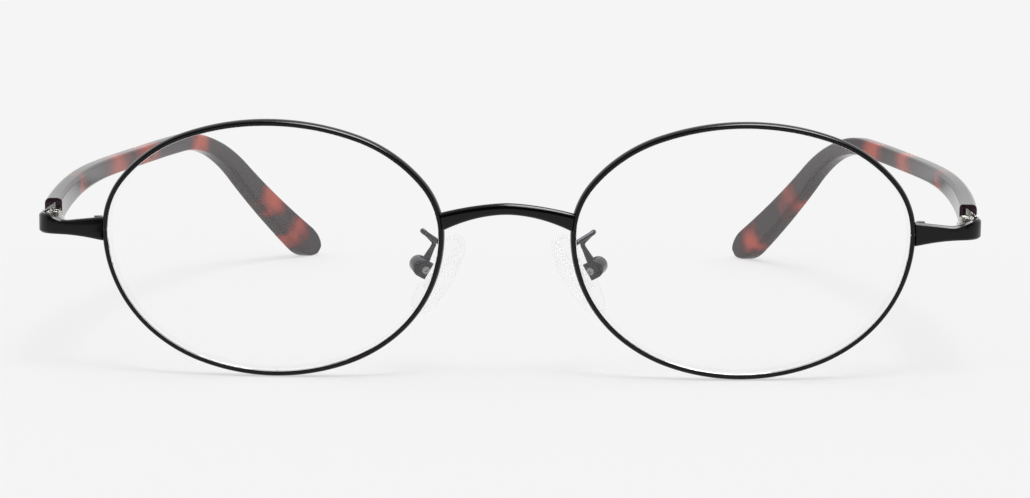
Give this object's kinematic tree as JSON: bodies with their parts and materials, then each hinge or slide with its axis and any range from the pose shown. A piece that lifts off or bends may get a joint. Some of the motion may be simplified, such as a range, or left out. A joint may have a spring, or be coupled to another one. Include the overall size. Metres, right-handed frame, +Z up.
{
  "type": "eyeglasses",
  "caption": "Full-rim oval eyeglasses: lacquered metal front, clear lenses, adjustable nose pads and folding acetate temples.",
  "frame": {"origin": "centre of the part's bounding box at the surface that it stands on", "axes": "+X towards the wearer's left, +Y from the front towards the temple tips, +Z up, as it stands open on its rims and temple tips"},
  "size_m": [0.1372, 0.1408, 0.0372],
  "materials": {
    "front_lacquer": "glossy black lacquer on metal",
    "hinge_steel": "satin silver-grey",
    "screw_steel": "bright polished",
    "core_steel": "satin",
    "arm_steel": "dark gunmetal plating",
    "tortoise_acetate": "polished, dark brown with orange-red patches",
    "lens_clear": "clear and polished",
    "insert_clear": "clear",
    "pad_silicone": "clear, soft satin"
  },
  "bodies": {
    "front": {"bridge": "front_lacquer", "rim_left": "front_lacquer", "rim_right": "front_lacquer", "lens_left": "lens_clear", "lens_right": "lens_clear", "end_piece_left": "front_lacquer", "end_piece_right": "front_lacquer", "closing_block_upper_left": "hinge_steel", "closing_block_upper_right": "hinge_steel", "closing_block_lower_left": "hinge_steel", "closing_block_lower_right": "hinge_steel", "closing_screw_left": "screw_steel", "closing_screw_right": "screw_steel", "front_hinge_leaf_left": "hinge_steel", "front_hinge_leaf_right": "hinge_steel", "hinge_screw_left": "screw_steel", "hinge_screw_right": "screw_steel", "pad_arm_left": "arm_steel", "pad_arm_right": "arm_steel", "pad_box_left": "arm_steel", "pad_box_right": "arm_steel", "pad_screw_left": "screw_steel", "pad_screw_right": "screw_steel"},
    "temple_left": {"temple_hinge_leaf_left": "hinge_steel", "temple_core_left": "core_steel", "temple_left": "tortoise_acetate"},
    "temple_right": {"temple_hinge_leaf_right": "hinge_steel", "temple_core_right": "core_steel", "temple_right": "tortoise_acetate"},
    "pad_left": {"pad_insert_left": "insert_clear", "nose_pad_left": "pad_silicone"},
    "pad_right": {"pad_insert_right": "insert_clear", "nose_pad_right": "pad_silicone"}
  },
  "joints": [
    {"name": "temple_left_fold", "type": "hinge", "parent": "front", "child": "temple_left", "pos_m": [0.06525, -0.06058, 0.02167], "axis": [0, 0, 1], "range_deg": [0, 80]},
    {"name": "temple_right_fold", "type": "hinge", "parent": "front", "child": "temple_right", "pos_m": [-0.06525, -0.06058, 0.02167], "axis": [0, 0, -1], "range_deg": [0, 71]},
    {"name": "pad_left_rock", "type": "hinge", "parent": "front", "child": "pad_left", "pos_m": [0.01222, -0.06095, 0.01538], "axis": [0.2962, 0.9397, 0.171], "range_deg": [-12, 12]},
    {"name": "pad_right_rock", "type": "hinge", "parent": "front", "child": "pad_right", "pos_m": [-0.01222, -0.06095, 0.01538], "axis": [-0.2962, 0.9397, 0.171], "range_deg": [-12, 12]}
  ]
}
